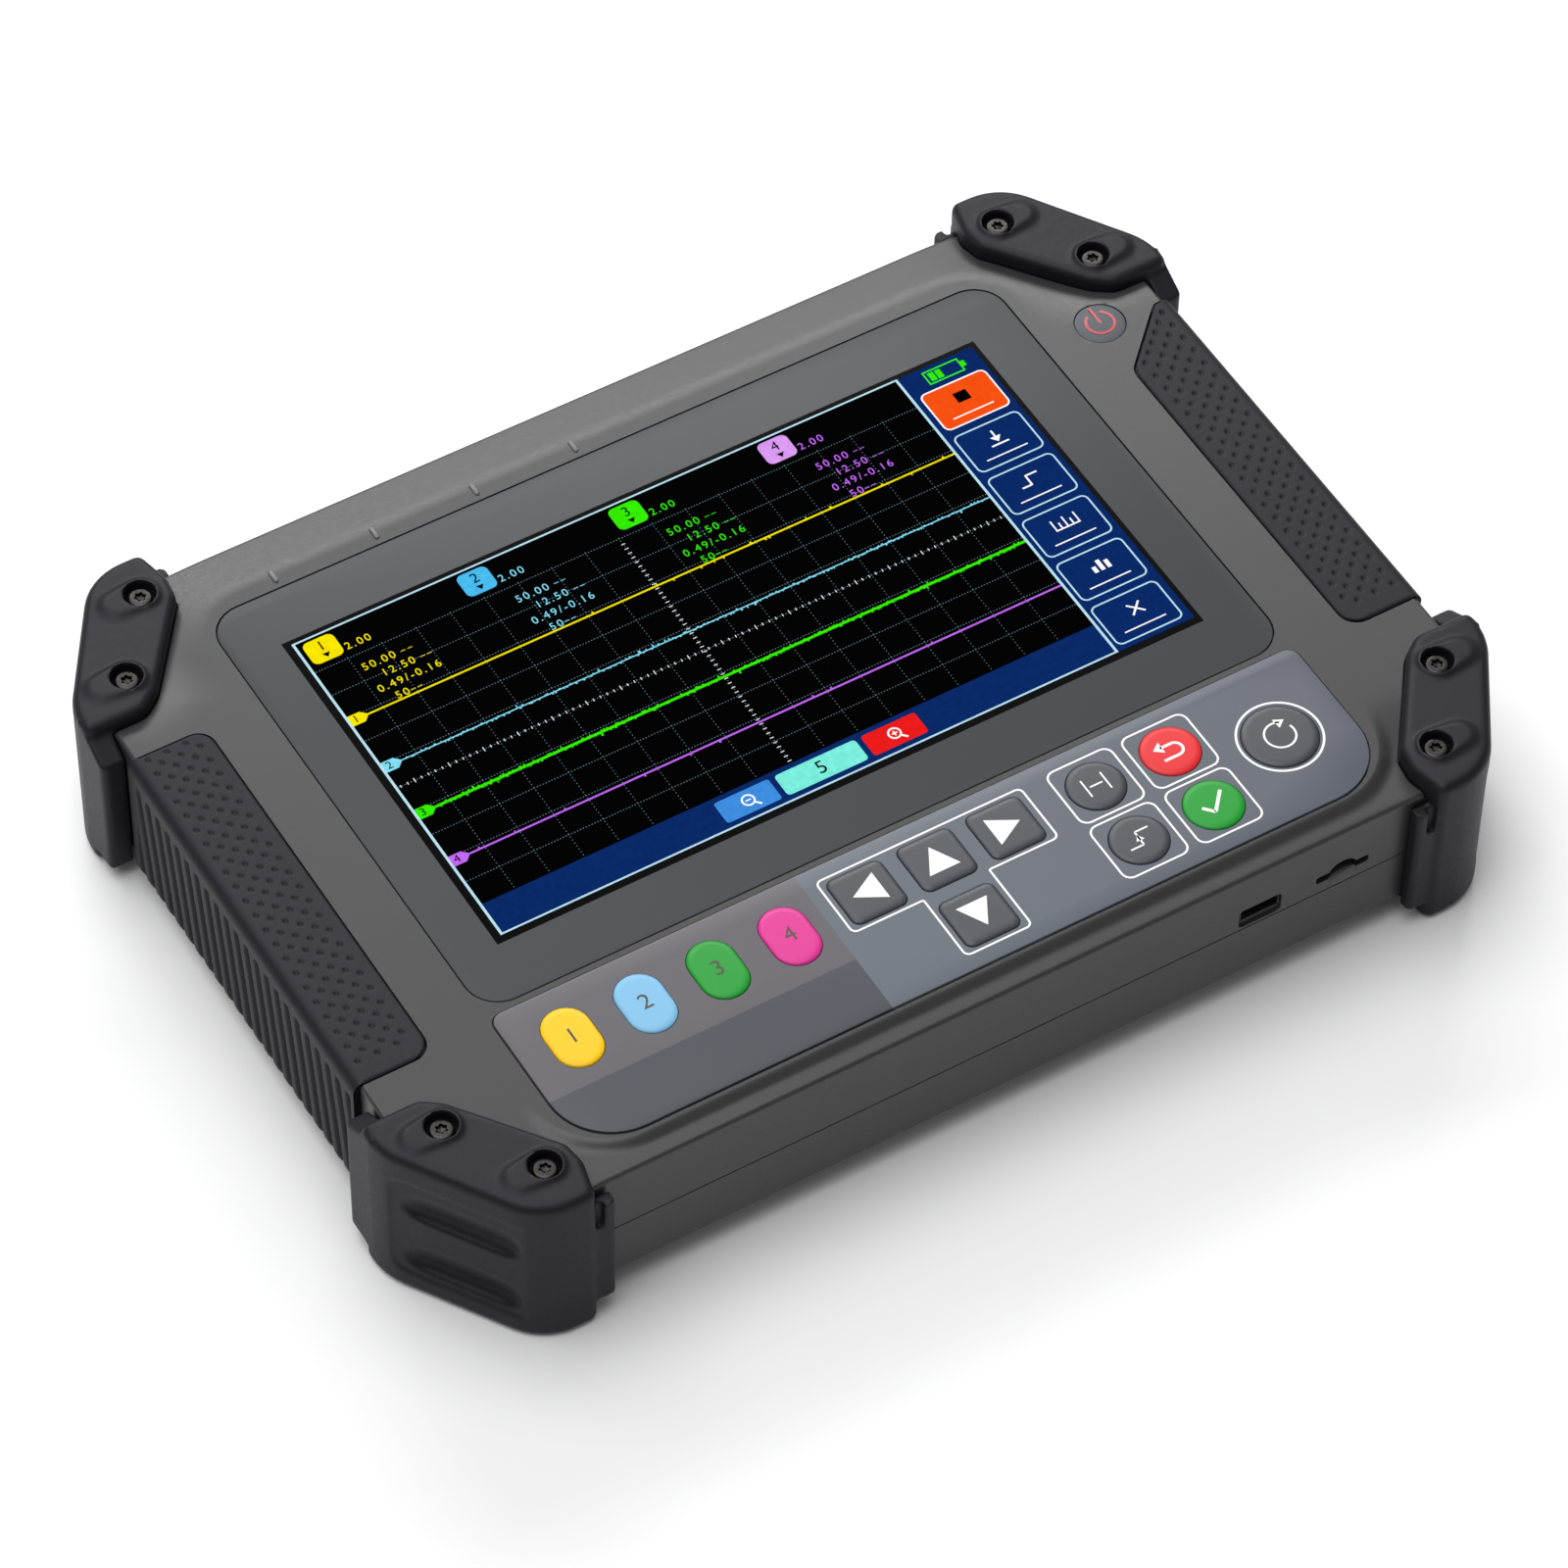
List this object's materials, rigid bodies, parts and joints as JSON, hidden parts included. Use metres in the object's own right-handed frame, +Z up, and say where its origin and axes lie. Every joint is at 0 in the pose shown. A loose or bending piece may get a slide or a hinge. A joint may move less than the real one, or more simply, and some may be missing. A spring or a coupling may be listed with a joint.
{
  "type": "tablet oscilloscope",
  "caption": "Rugged tablet oscilloscope with a lit display, a membrane keypad, rubber corner guards and side grips, lying face up.",
  "frame": {"origin": "centre of the bounding box's bottom face, on the plane that the four corner guards rest on", "axes": "+X to the user's right, +Y away from the user towards the input sockets, +Z up out of the display"},
  "size_m": [0.245, 0.178, 0.0408],
  "materials": {
    "housing_plastic": "satin moulded ABS and polycarbonate with a fine spark-eroded grain",
    "lens": "hard-coated acrylic window, satin, grey printed border",
    "foam": "closed-cell foam strip",
    "lcd": "lit colour display under the window",
    "overlay": "fine textured polyester membrane, printed from below in grey zones",
    "key_yellow": "satin printed key, yellow",
    "key_sky": "satin printed key, light blue",
    "key_green": "satin printed key, green",
    "key_pink": "satin printed key, pink",
    "key_dark": "satin printed key, dark grey",
    "key_red": "satin printed key, red",
    "board": "solder-masked glass-epoxy board",
    "button_grey": "satin silicone button, blue grey",
    "black_plastic": "moulded nylon, black",
    "guard_rubber": "moulded thermoplastic rubber, matte with a fine grain",
    "screw_steel": "passivated stainless steel",
    "grip_rubber": "moulded thermoplastic rubber, dimpled and ribbed",
    "nickel": "bright nickel plate on brass",
    "port_steel": "stamped stainless steel",
    "shield_steel": "tin-plated steel can",
    "spreader_aluminium": "mill-finish aluminium sheet",
    "battery_wrap": "shrink-wrapped cells"
  },
  "bodies": {
    "housing": {"front_housing": "housing_plastic", "rear_housing": "housing_plastic", "display_window": "lens", "lcd_gasket": "foam", "lcd_module": "lcd", "keypad_overlay": "overlay", "key_board": "board", "power_switch": "black_plastic", "guard_front_left": "guard_rubber", "screw_front_left_1": "screw_steel", "screw_front_left_2": "screw_steel", "guard_front_right": "guard_rubber", "screw_front_right_1": "screw_steel", "screw_front_right_2": "screw_steel", "guard_rear_left": "guard_rubber", "screw_rear_left_1": "screw_steel", "screw_rear_left_2": "screw_steel", "guard_rear_right": "guard_rubber", "screw_rear_right_1": "screw_steel", "screw_rear_right_2": "screw_steel", "grip_left": "grip_rubber", "grip_right": "grip_rubber", "input_panel": "housing_plastic", "input_socket_1": "nickel", "input_socket_2": "nickel", "input_socket_3": "nickel", "input_socket_4": "nickel", "dc_jack": "black_plastic", "test_terminal": "nickel", "usb_socket": "port_steel", "card_socket": "port_steel", "port_board": "board", "main_board": "board", "input_shield": "shield_steel", "heat_spreader": "spreader_aluminium", "speaker": "black_plastic", "battery_pack": "battery_wrap", "battery_cover": "housing_plastic", "cover_screw_left": "screw_steel", "cover_screw_right": "screw_steel", "stand_pin": "screw_steel"},
    "key_ch1": {"key_ch1": "key_yellow"},
    "key_ch2": {"key_ch2": "key_sky"},
    "key_ch3": {"key_ch3": "key_green"},
    "key_ch4": {"key_ch4": "key_pink"},
    "key_left": {"key_left": "key_dark"},
    "key_up": {"key_up": "key_dark"},
    "key_right": {"key_right": "key_dark"},
    "key_down": {"key_down": "key_dark"},
    "key_cursors": {"key_cursors": "key_dark"},
    "key_trigger": {"key_trigger": "key_dark"},
    "key_back": {"key_back": "key_red"},
    "key_ok": {"key_ok": "key_green"},
    "key_default": {"key_default": "key_dark"},
    "power_button": {"power_button": "button_grey"},
    "stand": {"stand": "housing_plastic"}
  },
  "joints": [
    {"name": "key_ch1_press", "type": "slide", "parent": "housing", "child": "key_ch1", "axis": [0, 0, -1], "range_m": [0, 0.0006], "stiffness_N_per_m": 1000, "springref_m": -0.001},
    {"name": "key_ch2_press", "type": "slide", "parent": "housing", "child": "key_ch2", "axis": [0, 0, -1], "range_m": [0, 0.0006], "stiffness_N_per_m": 1000, "springref_m": -0.001},
    {"name": "key_ch3_press", "type": "slide", "parent": "housing", "child": "key_ch3", "axis": [0, 0, -1], "range_m": [0, 0.0006], "stiffness_N_per_m": 1000, "springref_m": -0.001},
    {"name": "key_ch4_press", "type": "slide", "parent": "housing", "child": "key_ch4", "axis": [0, 0, -1], "range_m": [0, 0.0006], "stiffness_N_per_m": 1000, "springref_m": -0.001},
    {"name": "key_left_press", "type": "slide", "parent": "housing", "child": "key_left", "axis": [0, 0, -1], "range_m": [0, 0.0006], "stiffness_N_per_m": 1000, "springref_m": -0.001},
    {"name": "key_up_press", "type": "slide", "parent": "housing", "child": "key_up", "axis": [0, 0, -1], "range_m": [0, 0.0006], "stiffness_N_per_m": 1000, "springref_m": -0.001},
    {"name": "key_right_press", "type": "slide", "parent": "housing", "child": "key_right", "axis": [0, 0, -1], "range_m": [0, 0.0006], "stiffness_N_per_m": 1000, "springref_m": -0.001},
    {"name": "key_down_press", "type": "slide", "parent": "housing", "child": "key_down", "axis": [0, 0, -1], "range_m": [0, 0.0006], "stiffness_N_per_m": 1000, "springref_m": -0.001},
    {"name": "key_cursors_press", "type": "slide", "parent": "housing", "child": "key_cursors", "axis": [0, 0, -1], "range_m": [0, 0.0006], "stiffness_N_per_m": 1000, "springref_m": -0.001},
    {"name": "key_trigger_press", "type": "slide", "parent": "housing", "child": "key_trigger", "axis": [0, 0, -1], "range_m": [0, 0.0006], "stiffness_N_per_m": 1000, "springref_m": -0.001},
    {"name": "key_back_press", "type": "slide", "parent": "housing", "child": "key_back", "axis": [0, 0, -1], "range_m": [0, 0.0006], "stiffness_N_per_m": 1000, "springref_m": -0.001},
    {"name": "key_ok_press", "type": "slide", "parent": "housing", "child": "key_ok", "axis": [0, 0, -1], "range_m": [0, 0.0006], "stiffness_N_per_m": 1000, "springref_m": -0.001},
    {"name": "key_default_press", "type": "slide", "parent": "housing", "child": "key_default", "axis": [0, 0, -1], "range_m": [0, 0.0006], "stiffness_N_per_m": 1000, "springref_m": -0.001},
    {"name": "power_button_press", "type": "slide", "parent": "housing", "child": "power_button", "axis": [0, 0, -1], "range_m": [0, 0.0006], "stiffness_N_per_m": 1200, "springref_m": -0.001},
    {"name": "stand_fold", "type": "hinge", "parent": "housing", "child": "stand", "pos_m": [0, 0.036, 0.0054], "axis": [-1, 0, 0], "range_deg": [0, 65]}
  ]
}
